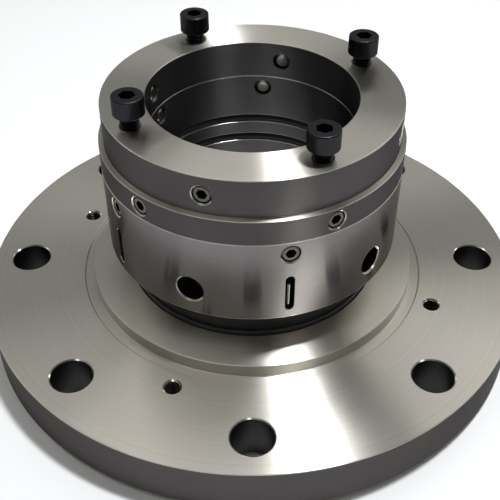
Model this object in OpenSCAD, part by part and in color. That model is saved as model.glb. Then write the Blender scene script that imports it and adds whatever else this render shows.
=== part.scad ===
// Agitator seal for the shaft of a stirred vessel. A bolted flange holds a fixed seat ring,
// and a rotating head of three stacked rings presses a sprung carbon ring down on the seat.
// Lengths are in millimetres, +Z runs up the shaft, and the origin is the centre of the
// raised face under the flange.

/* [Shaft and fits] */
// Diameter of the agitator shaft
shaft_d = 90; // [80:1:100]
// Gap around the shaft where it passes the flange, on the radius
flange_bore_gap = 3; // [2:0.5:4]
// Gap between turned parts that move past each other, on the radius
run_gap = 0.3; // [0.25:0.05:0.5]
// Gap of a slip fit between fixed parts and of a thread, on the radius
fit_gap = 0.05; // [0.02:0.01:0.08]
// Free room left past each end of the face's travel
end_gap = 0.5; // [0.3:0.1:1]

/* [Mounting flange] */
// Outer diameter of the flange
flange_d = 250; // [245:1:280]
// Thickness of the flange plate, without its raised face
flange_t = 22; // [20:1:30]
// Distance between the raised face underneath and the bolt holes
raised_margin = 4.5; // [3:0.5:10]
// Height of the raised face underneath
raised_h = 2; // [1:0.5:3]
// Distance of the bolt circle from the flange's rim
bolt_edge = 17.5; // [14:0.5:20]
// Diameter of the bolt holes
bolt_d = 18; // [14:0.5:20]
// Number of flange bolts
bolt_n = 8; // [4:4:12]
// Land between the boss groove and the pitch circle of the tapped holes
tapped_land = 8; // [6:0.5:9]
// Core diameter of the tapped holes
tapped_d = 6.8; // [5:0.1:8.5]
// Depth of the tapped holes
tapped_depth = 16; // [10:1:18]
// Number of tapped holes
tapped_n = 4; // [2:1:6]
// Direction of the first tapped hole
tapped_angle = -22; // [-44:1:44]
// Width of the chamfers on the flange rims
flange_chamfer = 1; // [0.5:0.1:1.5]

/* [Boss] */
// Distance that the boss stands out past the rotating head
boss_margin = 9.5; // [6:0.5:11]
// Height of the boss above the flange
boss_h = 5.3; // [4:0.1:8]
// Width of the groove turned around the boss
groove_w = 5; // [3:0.5:6]
// Depth of that groove below the flange
groove_depth = 1; // [0.5:0.1:2]

/* [Seat] */
// Distance that the seat ring stands out of the boss
seat_stand = 2; // [1.5:0.1:5]
// Radial gap between the flange bore and the bore of the seat ring
seat_bore_step = 0.5; // [0:0.1:1]
// Distance that the seat reaches past the carbon ring, on the radius
seat_margin = 1; // [0.8:0.1:3]
// Height of the head of the seat ring
seat_head_h = 10.7; // [8:0.1:13]
// Height of the tail of the seat ring
seat_tail_h = 7; // [6:0.1:8]
// Wall of the tail of the seat ring
seat_tail_wall = 5; // [4.5:0.1:5.5]
// Radial room for the O-ring around the tail
seat_ring_room = 3.2; // [2.8:0.1:3.4]
// Diameter of the pins that keep the seat from turning
pin_d = 3.5; // [3:0.1:4]
// Length of these pins
pin_length = 9; // [7:0.5:10]
// Number of seat pins
pin_n = 2; // [2:1:4]

/* [Carbon face] */
// Wall of the carbon ring
carbon_wall = 6.2; // [5.5:0.1:7]
// Height of the carbon ring
carbon_h = 15.3; // [13:0.1:18]
// Width of the relief inside the lapped nose
nose_relief = 1.7; // [1:0.1:2.5]
// Height of the lapped nose
nose_h = 2; // [1:0.1:4]
// Wall of the steel skirt around the back of the carbon ring
skirt_wall = 2; // [1.5:0.1:2.5]
// Height of that skirt
skirt_h = 4; // [3:0.5:5]
// Height of the face carrier above the carbon ring
carrier_h = 19; // [17:0.5:24]
// Radial room for the O-ring inside the face carrier
face_ring_room = 3.1; // [2.8:0.1:3.3]
// Height of the groove for that O-ring
face_groove_h = 4.4; // [4:0.1:5]
// Travel of the sprung face
face_travel = 4.5; // [3:0.5:6]

/* [Drive slots and keys] */
// Number of drive slots, and of keys, side holes and clamping screws
slot_n = 5; // [3:1:6]
// Direction of the first drive slot
slot_angle = -76.8; // [-90:0.1:-60]
// Width of a drive slot
slot_w = 3.6; // [3.4:0.1:5]
// Length of a drive slot
slot_length = 18; // [16:0.5:18.5]
// Height of a slot's lower end above the rim of the spring housing
slot_lift = 4.1; // [3.4:0.1:5]
// Gap beside a key in its slot
key_side_gap = 0.5; // [0.3:0.1:0.8]
// Depth of the seat of a key in the face carrier
key_seat_depth = 3; // [2:0.1:4]
// Distance that a key stays back from the outside of the housing
key_set_back = 1.5; // [0.5:0.1:3]
// Diameter of the round holes in the side of the housing
side_hole_d = 12; // [8:0.5:13]
// Height of these holes above the rim of the housing
side_hole_lift = 12.3; // [9:0.1:12.5]

/* [Rotating head] */
// Height of the rim of the spring housing above the seat
head_lift = 15.9; // [15.3:0.1:17.5]
// Height of the spring housing
housing_h = 39.5; // [39:0.1:45]
// Wall of the skirt of the spring housing
housing_wall = 7; // [5:0.1:9]
// Wall of the drive sleeve on the shaft
sleeve_wall = 5; // [4.5:0.1:6]
// Height of the head of the drive sleeve
drive_h = 11.4; // [11:0.1:16]
// Height of the setting collar
collar_h = 17.3; // [14:0.1:22]
// Ledge left around the setting collar, on the radius
collar_ledge = 2.2; // [0.5:0.1:3]
// Height of the upper shaft O-ring above the housing rim
upper_ring_lift = 28.1; // [27:0.1:29]
// Height of the lower shaft O-ring above the housing rim
lower_ring_lift = 17.6; // [10:0.1:20]
// Depth of the shaft O-ring grooves
shaft_groove_depth = 2.5; // [2:0.1:3]
// Width of the shaft O-ring grooves
shaft_groove_w = 4; // [3.8:0.1:5]
// Chamfer on the rims of the three rings
rim_chamfer = 0.4; // [0.3:0.1:1]

/* [Springs] */
// Number of springs
spring_n = 10; // [6:1:12]
// Outside diameter of a spring
spring_d = 6; // [5:0.1:6.2]
// Diameter of the spring wire
wire_d = 0.8; // [0.6:0.05:1]
// Turns of a spring, with its two closed end turns
spring_turns = 7; // [5:1:9]
// Gap around a spring in its pocket, on the radius
spring_gap = 0.3; // [0.2:0.05:0.4]
// Depth of the spring seats in the face carrier
spring_seat_depth = 1.2; // [0.8:0.1:1.3]
// Depth of the spring pockets in the housing
pocket_depth = 12; // [10:0.5:13]

/* [Screws] */
// Thread diameter of every screw
screw_d = 8; // [6:0.5:8]
// Width of the hex socket of a set screw, across its flats
set_socket_w = 4; // [3:0.1:5]
// Depth of the hex socket of a set screw
set_socket_depth = 4.5; // [3:0.1:6]
// Distance that a set screw is sunk below the surface
set_sink = 0.7; // [0.3:0.1:2]
// Distance that the tip of a set screw stays back from the shaft
set_tip_gap = 0.5; // [0.2:0.1:2]
// Number of set screws in the setting collar, and of jack screws
collar_screw_n = 4; // [3:1:6]
// Direction of the first set screw in the setting collar
collar_screw_angle = 72.5; // [45:0.5:90]
// Direction of the first jack screw
jack_angle = 28.5; // [10:0.5:40]
// Direction of the first set screw in the drive sleeve
drive_screw_angle = 11.5; // [0:0.5:40]
// Depth of the housing screws below the top of the housing
housing_screw_drop = 5.9; // [5:0.1:7]
// Pitch circle of the jack screws
jack_pcd = 110; // [106:0.5:114]
// Room under the heads of the jack screws, which is the setting travel
jack_gap = 4.7; // [3:0.1:8]
// Extra height of the one jack screw that is still backed off
jack_lift = 1; // [0:0.1:2]
// Diameter of a jack screw's head
jack_head_d = 13; // [10:0.1:13]
// Height of a jack screw's head
jack_head_h = 8; // [6:0.1:9]
// Width of the hex socket of a jack screw, across its flats
jack_socket_w = 6; // [5:0.1:7]
// Depth of the hex socket of a jack screw
jack_socket_depth = 4; // [3:0.1:5]

/* [Hidden] */
steel = "#a8a59e";
bright_steel = "#c9c8c4";
black_oxide = "#1d1d1f";
carbon = "#242427";
rubber = "#141415";
silicon_carbide = "#4a4c50";

turn_fn = 144;
hole_fn = 48;
hex_fn = 6;
edge = 0.5;
over = 1;
groove_lip = 0.3;
wire_sides = 6;
wire_steps = 10;

flange_top = raised_h + flange_t;
boss_top = flange_top + boss_h;
seat_face = boss_top + seat_stand;
seat_step = seat_face - seat_head_h;
seat_floor = seat_step - seat_tail_h;
carbon_top = seat_face + carbon_h;
carrier_top = carbon_top + carrier_h;
housing_rim = seat_face + head_lift;
housing_top = housing_rim + housing_h;
spring_deck = carrier_top + face_travel + end_gap;
pocket_end = spring_deck + pocket_depth;
drive_top = housing_top + drive_h;
collar_top = drive_top + collar_h;
sleeve_end = seat_face + face_travel + 2.6 * end_gap;

shaft_r = shaft_d / 2;
sleeve_r = shaft_r + sleeve_wall;
carbon_bore_r = sleeve_r + run_gap;
carbon_r = carbon_bore_r + carbon_wall;
carrier_r = carbon_r + fit_gap + skirt_wall;
housing_bore_r = carrier_r + run_gap + 0.15;
housing_r = housing_bore_r + housing_wall;
collar_r = housing_r - collar_ledge;
flange_bore_r = shaft_r + flange_bore_gap;
seat_bore_r = flange_bore_r + seat_bore_step;
seat_r = carbon_r + seat_margin;
seat_tail_r = seat_bore_r + seat_tail_wall;
boss_r = housing_r + boss_margin;
groove_r = boss_r + groove_w;
bolt_pcd = flange_d - 2 * bolt_edge;
raised_r = bolt_pcd / 2 - bolt_d / 2 - raised_margin;
tapped_pcd = 2 * (groove_r + tapped_land);

screw_r = screw_d / 2;
pin_r = pin_d / 2;
pin_circle_r = seat_bore_r + seat_tail_wall / 2;
pin_sink = 5.5;
slot_foot = housing_rim + slot_lift;
slot_head = slot_foot + slot_length;
key_w = slot_w - 2 * key_side_gap;
key_foot = slot_foot + run_gap;
key_head = slot_head - face_travel - end_gap;
key_r = housing_r - key_set_back;
spring_circle_r = (carbon_bore_r + carrier_r) / 2;
spring_foot = carrier_top - spring_seat_depth;
spring_length = pocket_end - spring_foot;
collar_screw_z = (drive_top + collar_top) / 2;
drive_screw_z = (housing_top + drive_top) / 2;
housing_screw_z = housing_top - housing_screw_drop;
jack_length = collar_h + jack_gap;

SPRINGS = [for (i = [1:spring_n]) str("spring_", i)];

// Ring of plain section with all four rims chamfered
module turned_ring(bore_r, outer_r, foot, head, chamfer) {
    rotate_extrude($fn = turn_fn)
        polygon([
            [bore_r + chamfer, foot], [outer_r - chamfer, foot],
            [outer_r, foot + chamfer], [outer_r, head - chamfer],
            [outer_r - chamfer, head], [bore_r + chamfer, head],
            [bore_r, head - chamfer], [bore_r, foot + chamfer]]);
}

// Cut of a groove in a bore, with its two lips broken
module bore_groove(bore_r, depth, middle, width) {
    half = width / 2;
    rotate_extrude($fn = turn_fn)
        translate([bore_r, middle])
            polygon([
                [-over, -half - groove_lip - over], [groove_lip, -half], [depth, -half],
                [depth, half], [groove_lip, half], [-over, half + groove_lip + over]]);
}

// O-ring squeezed flat between an inner and an outer wall
module squeezed_ring(inner_r, outer_r, middle, height) {
    rotate_extrude($fn = turn_fn)
        translate([(inner_r + outer_r) / 2, middle])
            intersection() {
                circle(d = height, $fn = hole_fn);
                square([outer_r - inner_r, height + over], center = true);
            }
}

// Places its children at a number of even steps around the shaft
module around(count, first) {
    for (i = [0:count - 1])
        rotate(first + i * 360 / count)
            children();
}

// Turns its children's +Z outwards along +X, at one height
module outwards(height) {
    translate([0, 0, height])
        rotate([0, 90, 0])
            children();
}

// Threaded hole from the shaft side out through a ring, with its mouth chamfered
module radial_hole(from_r, outer_r, height) {
    mouth = screw_r + fit_gap + edge;
    outwards(height) {
        translate([0, 0, from_r])
            cylinder(r = screw_r + fit_gap, h = outer_r - from_r + over, $fn = hole_fn);
        translate([0, 0, outer_r - 2 * edge])
            cylinder(r1 = mouth - edge, r2 = mouth + edge, h = 2 * edge + over, $fn = hole_fn);
    }
}

// Set screw with a cup point, its tip at the bottom and its hex socket at the top
module set_screw(length) {
    point_r = screw_r * 0.6;
    difference() {
        rotate_extrude($fn = hole_fn)
            polygon([
                [0, edge], [point_r - edge, 0], [point_r, 0], [screw_r, screw_r - point_r],
                [screw_r, length - edge], [screw_r - edge, length], [0, length]]);
        translate([0, 0, length - set_socket_depth])
            cylinder(d = set_socket_w / cos(30), h = set_socket_depth + over, $fn = hex_fn);
    }
}

// Socket head cap screw, its tip at the bottom
module cap_screw(length) {
    head_r = jack_head_d / 2;
    top = length + jack_head_h;
    difference() {
        rotate_extrude($fn = hole_fn)
            polygon([
                [0, 0], [screw_r - edge, 0], [screw_r, edge], [screw_r, length],
                [head_r - edge / 2, length], [head_r, length + edge / 2],
                [head_r, top - edge], [head_r - edge, top], [0, top]]);
        translate([0, 0, top - jack_socket_depth])
            cylinder(d = jack_socket_w / cos(30), h = jack_socket_depth + over, $fn = hex_fn);
    }
}

// Upright slot or key along +X, with full round ends
module upright_bar(from_r, to_r, foot, head, width) {
    outwards(0)
        translate([0, 0, from_r])
            linear_extrude(to_r - from_r)
                union() {
                    translate([-head + width / 2, -width / 2])
                        square([head - foot - width, width]);
                    translate([-head + width / 2, 0])
                        circle(d = width, $fn = hole_fn);
                    translate([-foot - width / 2, 0])
                        circle(d = width, $fn = hole_fn);
                }
}

// Through or blind hole along Z with a chamfered upper mouth
module mouth_hole(radius, foot, head, chamfer) {
    translate([0, 0, foot])
        cylinder(r = radius, h = head - foot + over, $fn = hole_fn);
    translate([0, 0, head - chamfer])
        cylinder(r1 = radius, r2 = radius + chamfer + over, h = chamfer + over, $fn = hole_fn);
}

// Section of the flange: raised face below, groove and boss on top, stepped seat pocket inside
module flange_section() {
    c = flange_chamfer;
    polygon([
        [flange_bore_r + edge, 0], [raised_r - edge, 0], [raised_r, edge],
        [raised_r, raised_h], [flange_d / 2 - c, raised_h], [flange_d / 2, raised_h + c],
        [flange_d / 2, flange_top - c], [flange_d / 2 - c, flange_top],
        [groove_r + groove_lip, flange_top], [groove_r, flange_top - groove_lip],
        [groove_r, flange_top - groove_depth], [boss_r, flange_top - groove_depth],
        [boss_r, boss_top - edge], [boss_r - edge, boss_top],
        [seat_r + run_gap + edge, boss_top], [seat_r + run_gap, boss_top - edge],
        [seat_r + run_gap, seat_step - run_gap],
        [seat_tail_r + seat_ring_room, seat_step - run_gap],
        [seat_tail_r + seat_ring_room, seat_floor], [flange_bore_r, seat_floor],
        [flange_bore_r, edge]]);
}

module mounting_flange() {
    color(steel)
        difference() {
            rotate_extrude($fn = turn_fn)
                flange_section();
            around(bolt_n, 0)
                translate([bolt_pcd / 2, 0, 0]) {
                    mouth_hole(bolt_d / 2, -over, flange_top, edge);
                    translate([0, 0, raised_h + flange_t / 2])
                        rotate([180, 0, 0])
                            mouth_hole(bolt_d / 2, 0, flange_t / 2, edge);
                }
            around(tapped_n, tapped_angle)
                translate([tapped_pcd / 2, 0, 0])
                    mouth_hole(tapped_d / 2, flange_top - tapped_depth, flange_top, edge);
            around(pin_n, 0)
                translate([pin_circle_r, 0, seat_floor - pin_sink])
                    cylinder(r = pin_r + fit_gap, h = pin_sink + over, $fn = hole_fn);
        }
}

// Fixed ring with the lapped running face; its tail is slotted for the pins
module seat_ring() {
    color(silicon_carbide)
        difference() {
            rotate_extrude($fn = turn_fn)
                polygon([
                    [seat_bore_r, seat_floor + edge], [seat_bore_r + edge, seat_floor],
                    [seat_tail_r - edge, seat_floor], [seat_tail_r, seat_floor + edge],
                    [seat_tail_r, seat_step], [seat_r - edge, seat_step],
                    [seat_r, seat_step + edge], [seat_r, seat_face - edge],
                    [seat_r - edge, seat_face], [seat_bore_r + edge, seat_face],
                    [seat_bore_r, seat_face - edge]]);
            around(pin_n, 0)
                translate([seat_bore_r - over, -pin_r - run_gap, seat_floor - over])
                    cube([seat_tail_wall + 2 * over, pin_d + 2 * run_gap,
                        pin_length - pin_sink + run_gap + over]);
        }
}

module seat_o_ring() {
    color(rubber)
        squeezed_ring(seat_tail_r, seat_tail_r + seat_ring_room,
            seat_floor + seat_tail_h / 2, seat_ring_room * 1.2);
}

module seat_pins() {
    color(bright_steel)
        around(pin_n, 0)
            translate([pin_circle_r, 0, seat_floor - pin_sink])
                cylinder(r = pin_r, h = pin_length, $fn = hole_fn);
}

// Carbon ring with its nose down on the seat
module carbon_ring() {
    color(carbon)
        rotate_extrude($fn = turn_fn)
            polygon([
                [carbon_bore_r + nose_relief, seat_face], [carbon_r - edge, seat_face],
                [carbon_r, seat_face + edge], [carbon_r, carbon_top - edge],
                [carbon_r - edge, carbon_top], [carbon_bore_r, carbon_top],
                [carbon_bore_r, seat_face + nose_h],
                [carbon_bore_r + nose_relief, seat_face + nose_h]]);
}

// Steel ring that grips the back of the carbon ring, and carries the keys and spring seats
module face_carrier() {
    color(steel)
        difference() {
            rotate_extrude($fn = turn_fn)
                polygon([
                    [carbon_r + fit_gap, carbon_top - skirt_h],
                    [carrier_r - edge, carbon_top - skirt_h],
                    [carrier_r, carbon_top - skirt_h + edge], [carrier_r, carrier_top - edge],
                    [carrier_r - edge, carrier_top], [carbon_bore_r, carrier_top],
                    [carbon_bore_r, carbon_top + face_groove_h],
                    [sleeve_r + face_ring_room, carbon_top + face_groove_h],
                    [sleeve_r + face_ring_room, carbon_top],
                    [carbon_r + fit_gap, carbon_top]]);
            around(slot_n, slot_angle)
                upright_bar(carrier_r - key_seat_depth, carrier_r + over,
                    key_foot - fit_gap, key_head + fit_gap, key_w + 2 * fit_gap);
            around(spring_n, slot_angle + 180 / spring_n)
                translate([spring_circle_r, 0, spring_foot])
                    cylinder(r = spring_d / 2 + spring_gap, h = spring_seat_depth + over,
                        $fn = hole_fn);
        }
}

module face_o_ring() {
    color(rubber)
        squeezed_ring(sleeve_r + fit_gap, sleeve_r + face_ring_room,
            carbon_top + face_groove_h / 2, face_groove_h - 2 * run_gap);
}

// Keys seated in the face carrier, with rounded noses in the slots of the housing
module drive_keys() {
    color(bright_steel)
        around(slot_n, slot_angle)
            intersection() {
                upright_bar(carrier_r - key_seat_depth, key_r, key_foot, key_head, key_w);
                translate([key_r - key_w / 2, 0, key_foot - over]) {
                    cylinder(r = key_w / 2, h = key_head - key_foot + 2 * over, $fn = hole_fn);
                    translate([-housing_wall - key_seat_depth, -key_w, 0])
                        cube([housing_wall + key_seat_depth, 2 * key_w,
                            key_head - key_foot + 2 * over]);
                }
            }
}

// Housing with blind spring pockets in its deck and drive slots in its skirt
module spring_housing() {
    c = rim_chamfer;
    color(steel)
        difference() {
            rotate_extrude($fn = turn_fn)
                polygon([
                    [housing_bore_r + c, housing_rim], [housing_r - c, housing_rim],
                    [housing_r, housing_rim + c], [housing_r, housing_top - c / 2],
                    [housing_r - c / 2, housing_top], [sleeve_r + fit_gap, housing_top],
                    [sleeve_r + fit_gap, spring_deck], [housing_bore_r, spring_deck],
                    [housing_bore_r, housing_rim + c]]);
            around(spring_n, slot_angle + 180 / spring_n)
                translate([spring_circle_r, 0, spring_deck - over])
                    cylinder(r = spring_d / 2 + spring_gap, h = pocket_depth + over,
                        $fn = hole_fn);
            around(slot_n, slot_angle) {
                upright_bar(housing_bore_r - over, housing_r + over,
                    slot_foot, slot_head, slot_w);
                radial_hole(sleeve_r - over, housing_r, housing_screw_z);
            }
            around(slot_n, slot_angle + 180 / slot_n)
                outwards(housing_rim + side_hole_lift)
                    translate([0, 0, housing_bore_r - over])
                        cylinder(d = side_hole_d, h = housing_wall + 2 * over, $fn = hole_fn);
        }
}

module housing_set_screws() {
    color(bright_steel)
        around(slot_n, slot_angle)
            outwards(housing_screw_z)
                translate([0, 0, sleeve_r])
                    set_screw(housing_r - set_sink - sleeve_r);
}

// Sleeve on the shaft with a clamping head on top, and two O-ring grooves in its bore
module drive_sleeve() {
    c = rim_chamfer;
    color(steel)
        difference() {
            rotate_extrude($fn = turn_fn)
                polygon([
                    [shaft_r + c, sleeve_end], [sleeve_r - c, sleeve_end],
                    [sleeve_r, sleeve_end + c], [sleeve_r, housing_top],
                    [housing_r - c / 2, housing_top], [housing_r, housing_top + c / 2],
                    [housing_r, drive_top - c / 2], [housing_r - c / 2, drive_top],
                    [shaft_r + c / 2, drive_top], [shaft_r, drive_top - c / 2],
                    [shaft_r, sleeve_end + c]]);
            bore_groove(shaft_r, shaft_groove_depth, housing_rim + upper_ring_lift,
                shaft_groove_w);
            bore_groove(shaft_r, shaft_groove_depth, housing_rim + lower_ring_lift,
                shaft_groove_w);
            around(slot_n, drive_screw_angle)
                radial_hole(shaft_r - over, housing_r, drive_screw_z);
        }
}

module sleeve_set_screws() {
    color(bright_steel)
        around(slot_n, drive_screw_angle)
            outwards(drive_screw_z)
                translate([0, 0, shaft_r + set_tip_gap])
                    set_screw(housing_r - set_sink - shaft_r - set_tip_gap);
}

module upper_shaft_o_ring() {
    color(rubber)
        squeezed_ring(shaft_r, shaft_r + shaft_groove_depth,
            housing_rim + upper_ring_lift, shaft_groove_w - 2 * run_gap);
}

module lower_shaft_o_ring() {
    color(rubber)
        squeezed_ring(shaft_r, shaft_r + shaft_groove_depth,
            housing_rim + lower_ring_lift, shaft_groove_w - 2 * run_gap);
}

// Clamping collar that the jack screws push the head away from
module setting_collar() {
    color(steel)
        difference() {
            turned_ring(shaft_r, collar_r, drive_top, collar_top, rim_chamfer);
            around(collar_screw_n, collar_screw_angle)
                radial_hole(shaft_r - over, collar_r, collar_screw_z);
            around(collar_screw_n, jack_angle)
                translate([jack_pcd / 2, 0, 0])
                    mouth_hole(screw_r + fit_gap, drive_top - over, collar_top, edge);
        }
}

module collar_set_screws() {
    color(bright_steel)
        around(collar_screw_n, collar_screw_angle)
            outwards(collar_screw_z)
                translate([0, 0, shaft_r + set_tip_gap])
                    set_screw(collar_r - set_sink - shaft_r - set_tip_gap);
}

// Jack screws standing on the head of the sleeve, one of them backed off a little
module jack_screws() {
    backed_off = 2;
    color(black_oxide)
        for (i = [0:collar_screw_n - 1])
            rotate(jack_angle + i * 360 / collar_screw_n)
                translate([jack_pcd / 2, 0, drive_top + (i == backed_off ? jack_lift : 0)])
                    cap_screw(jack_length);
}

// Height of the wire's middle after a number of turns, with one closed turn at each end
function coil_height(turn) =
    let (closed = 1.1 * wire_d,
        open = (spring_length - wire_d - 2 * closed) / (spring_turns - 2))
    wire_d / 2 + (turn < 1 ? turn * closed
        : turn > spring_turns - 1
            ? spring_length - wire_d - (spring_turns - turn) * closed
            : closed + (turn - 1) * open);

// One helical compression spring along +Z, from z = 0
module coil_spring() {
    coil_r = (spring_d - wire_d) / 2;
    rings = spring_turns * wire_steps;
    points = [for (i = [0:rings], j = [0:wire_sides - 1])
        let (turn = i / wire_steps,
            side = 90 + j * 360 / wire_sides,
            r = coil_r + wire_d / 2 * cos(side))
        [r * cos(360 * turn), r * sin(360 * turn), coil_height(turn) + wire_d / 2 * sin(side)]];
    sides = [for (i = [0:rings - 1], j = [0:wire_sides - 1])
        let (k = (j + 1) % wire_sides)
        [i * wire_sides + j, i * wire_sides + k, (i + 1) * wire_sides + k,
            (i + 1) * wire_sides + j]];
    ends = [[for (j = [wire_sides - 1:-1:0]) j],
        [for (j = [0:wire_sides - 1]) rings * wire_sides + j]];
    polyhedron(points, concat(sides, ends));
}

module spring(number) {
    color(bright_steel)
        rotate(slot_angle + (number - 0.5) * 360 / spring_n)
            translate([spring_circle_r, 0, spring_foot])
                coil_spring();
}

mounting_flange();
seat_ring();
seat_o_ring();
seat_pins();
carbon_ring();
face_carrier();
face_o_ring();
drive_keys();
spring_housing();
housing_set_screws();
drive_sleeve();
sleeve_set_screws();
upper_shaft_o_ring();
lower_shaft_o_ring();
setting_collar();
collar_set_screws();
jack_screws();
for (i = [1:spring_n])
    spring(i);
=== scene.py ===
import math

import bmesh
import bpy
from mathutils import Matrix, Vector


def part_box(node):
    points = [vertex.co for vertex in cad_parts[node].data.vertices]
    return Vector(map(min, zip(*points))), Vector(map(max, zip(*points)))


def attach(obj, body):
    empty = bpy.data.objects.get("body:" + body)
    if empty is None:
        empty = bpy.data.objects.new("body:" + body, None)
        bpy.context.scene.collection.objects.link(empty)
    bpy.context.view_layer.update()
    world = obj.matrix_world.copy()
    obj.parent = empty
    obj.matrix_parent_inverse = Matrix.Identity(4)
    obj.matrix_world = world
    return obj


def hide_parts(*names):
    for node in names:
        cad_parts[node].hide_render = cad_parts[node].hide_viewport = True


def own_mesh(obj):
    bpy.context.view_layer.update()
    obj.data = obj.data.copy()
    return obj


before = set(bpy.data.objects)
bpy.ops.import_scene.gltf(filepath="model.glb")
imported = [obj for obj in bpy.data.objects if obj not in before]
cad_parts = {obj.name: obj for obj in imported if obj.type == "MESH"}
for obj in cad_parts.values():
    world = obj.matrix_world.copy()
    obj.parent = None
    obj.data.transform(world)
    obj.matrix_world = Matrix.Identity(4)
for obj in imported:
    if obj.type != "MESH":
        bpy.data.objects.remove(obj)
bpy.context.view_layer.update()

# Camera
# It looks down at the bore from above the front of the flange. Its place, tilt and lens come from
# a fit to the rims and bolt holes in the photo. Places are in metres.
CAMERA_PLACE = (-0.0010, -0.3105, 0.2930)
CAMERA_DOWN = math.radians(40.42)
LENS = 60.55
CLIP_START = 0.01

scene = bpy.context.scene
scene.view_settings.view_transform = "Standard"
camera = bpy.data.objects.new("camera", bpy.data.cameras.new("camera"))
camera.data.lens = LENS
camera.location = CAMERA_PLACE
camera.rotation_euler = (math.pi / 2 - CAMERA_DOWN, 0, 0)
camera.data.clip_start = CLIP_START
scene.collection.objects.link(camera)
scene.camera = camera

# Studio light
# A small lamp gives the narrow fan of light on the turned faces, and three wide softboxes fill the
# rest. The room is dim in front and lighter behind. Places and sizes are in metres.
WARM = (1.0, 0.99, 0.97)
COOL = (0.95, 0.98, 1.0)
KEY_LAMP = {"place": (0.21, 0.03, 1.15), "size": (0.08, 0.14), "radiance": 315.0, "tint": COOL}
CEILING_LIGHT = {"place": (-0.35, 0.1, 1.8), "size": (2.3, 1.0), "radiance": 0.9, "tint": WARM}
RIGHT_LIGHT = {"place": (1.2, 0.9, 1.5), "size": (1.2, 1.2), "radiance": 1.05, "tint": WARM}
LEFT_LIGHT = {"place": (-1.2, 0.6, 1.6), "size": (1.0, 1.0), "radiance": 0.6, "tint": WARM}
ROOM_AT_FLOOR = 0.16
ROOM_OVERHEAD = 0.26
ROOM_IN_FRONT = 0.3
ROOM_BEHIND = 1.3


def softbox(name, place, size, radiance, tint):
    light = bpy.data.lights.new(name, "AREA")
    light.shape = "RECTANGLE"
    light.size, light.size_y = size
    light.energy = radiance * math.pi * size[0] * size[1]
    light.color = tint
    lamp = bpy.data.objects.new(name, light)
    lamp.location = place
    lamp.rotation_euler = (-Vector(place)).to_track_quat("-Z", "Y").to_euler()
    lamp.visible_camera = False
    scene.collection.objects.link(lamp)


softbox("key_lamp", **KEY_LAMP)
softbox("ceiling_softbox", **CEILING_LIGHT)
softbox("right_softbox", **RIGHT_LIGHT)
softbox("left_softbox", **LEFT_LIGHT)


def add_node(tree, kind, settings=None, links=None):
    """Adds a node. Settings go to its properties or sockets, links give an input's source."""
    node = tree.nodes.new(kind)
    for key, value in (settings or {}).items():
        if isinstance(key, str) and hasattr(node, key):
            setattr(node, key, value)
        else:
            node.inputs[key].default_value = value
    for key, source in (links or {}).items():
        tree.links.new(source, node.inputs[key])
    return node


def colour(hex_code):
    """Turns a written sRGB colour into the linear values that a socket takes."""
    parts = [int(hex_code[i:i + 2], 16) / 255 for i in (1, 3, 5)]
    return [c / 12.92 if c <= 0.04045 else ((c + 0.055) / 1.055) ** 2.4 for c in parts] + [1]


room = bpy.data.worlds.new("grey_room")
room.use_nodes = True
walls = room.node_tree
walls.nodes.clear()
way = add_node(walls, "ShaderNodeTexCoord").outputs["Generated"]
parts = add_node(walls, "ShaderNodeSeparateXYZ", links={0: way})
upward = add_node(walls, "ShaderNodeMapRange",
                  {"interpolation_type": "SMOOTHSTEP", "From Min": 0.0, "From Max": 1.0,
                   "To Min": ROOM_AT_FLOOR, "To Max": ROOM_OVERHEAD}, {"Value": parts.outputs["Z"]})
backward = add_node(walls, "ShaderNodeMapRange",
                    {"interpolation_type": "SMOOTHSTEP", "From Min": -1.0, "From Max": 1.0,
                     "To Min": ROOM_IN_FRONT, "To Max": ROOM_BEHIND}, {"Value": parts.outputs["Y"]})
level = add_node(walls, "ShaderNodeMath", {"operation": "MULTIPLY"},
                 {0: upward.outputs[0], 1: backward.outputs[0]})
grey = add_node(walls, "ShaderNodeBackground", {"Color": (1, 1, 1, 1)},
                {"Strength": level.outputs[0]})
add_node(walls, "ShaderNodeOutputWorld", links={"Surface": grey.outputs[0]})
scene.world = room

# Mounting flange
# Plate of stainless steel, turned on both sides, with a raised face below, a boss around the seat
# and a groove around the boss. Eight bolt holes and four tapped holes go in from the top.
MM = 0.001
FLANGE_TOP = 24
RAISED_H = 2
BOSS_R = 75.5
BOSS_GROOVE_R = 80.5
BOSS_GROOVE_DEPTH = 1
FLANGE_BORE_R = 48
SEAT_STEP_Z = 20.3
SEAT_GAP = 0.3
SEAT_TAIL_ROOM_R = 56.7
FLANGE_BREAK = 0.45
BOLT_CIRCLE = 215
BOLT_D = 18
BOLT_MOUTH = 0.5
BOLT_EDGE = 4.5
BOLTS = 8
RAISED_R = BOLT_CIRCLE / 2 - BOLT_D / 2 - BOLT_EDGE
TAPPED_CIRCLE = 177
TAPPED_D = 6.8
TAPPED_THREAD = 8
TAPPED_PITCH = 1.25
TAPPED_DEPTH = 16
TAPPED_MOUTH = 0.7
TAPPED_HOLES = 4
TAPPED_ANGLE = -22
THREAD_LIFT = 2
THREAD_SINK = 0.1
PIN_HOLE_R = 1.8
PIN_HOLE_DEPTH = 5.5
PIN_CIRCLE_R = 51
PIN_ANGLES = (0, 180)
TURN_STEPS = 384
HOLE_STEPS = 64
CORNER_STEPS = 3
SAME_POINT = 1e-4
ON_AXIS = 1e-6
# How far a cut goes on over the surface that it opens, and how far a wall's finish is told from
# the next wall's.
OVER = 1
WALL_MARGIN = 1


def reach(node):
    """Outer radius, foot and head of a turned piece, in millimetres, from its solid."""
    low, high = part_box(node)
    return high.x / MM, low.z / MM, high.z / MM


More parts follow.
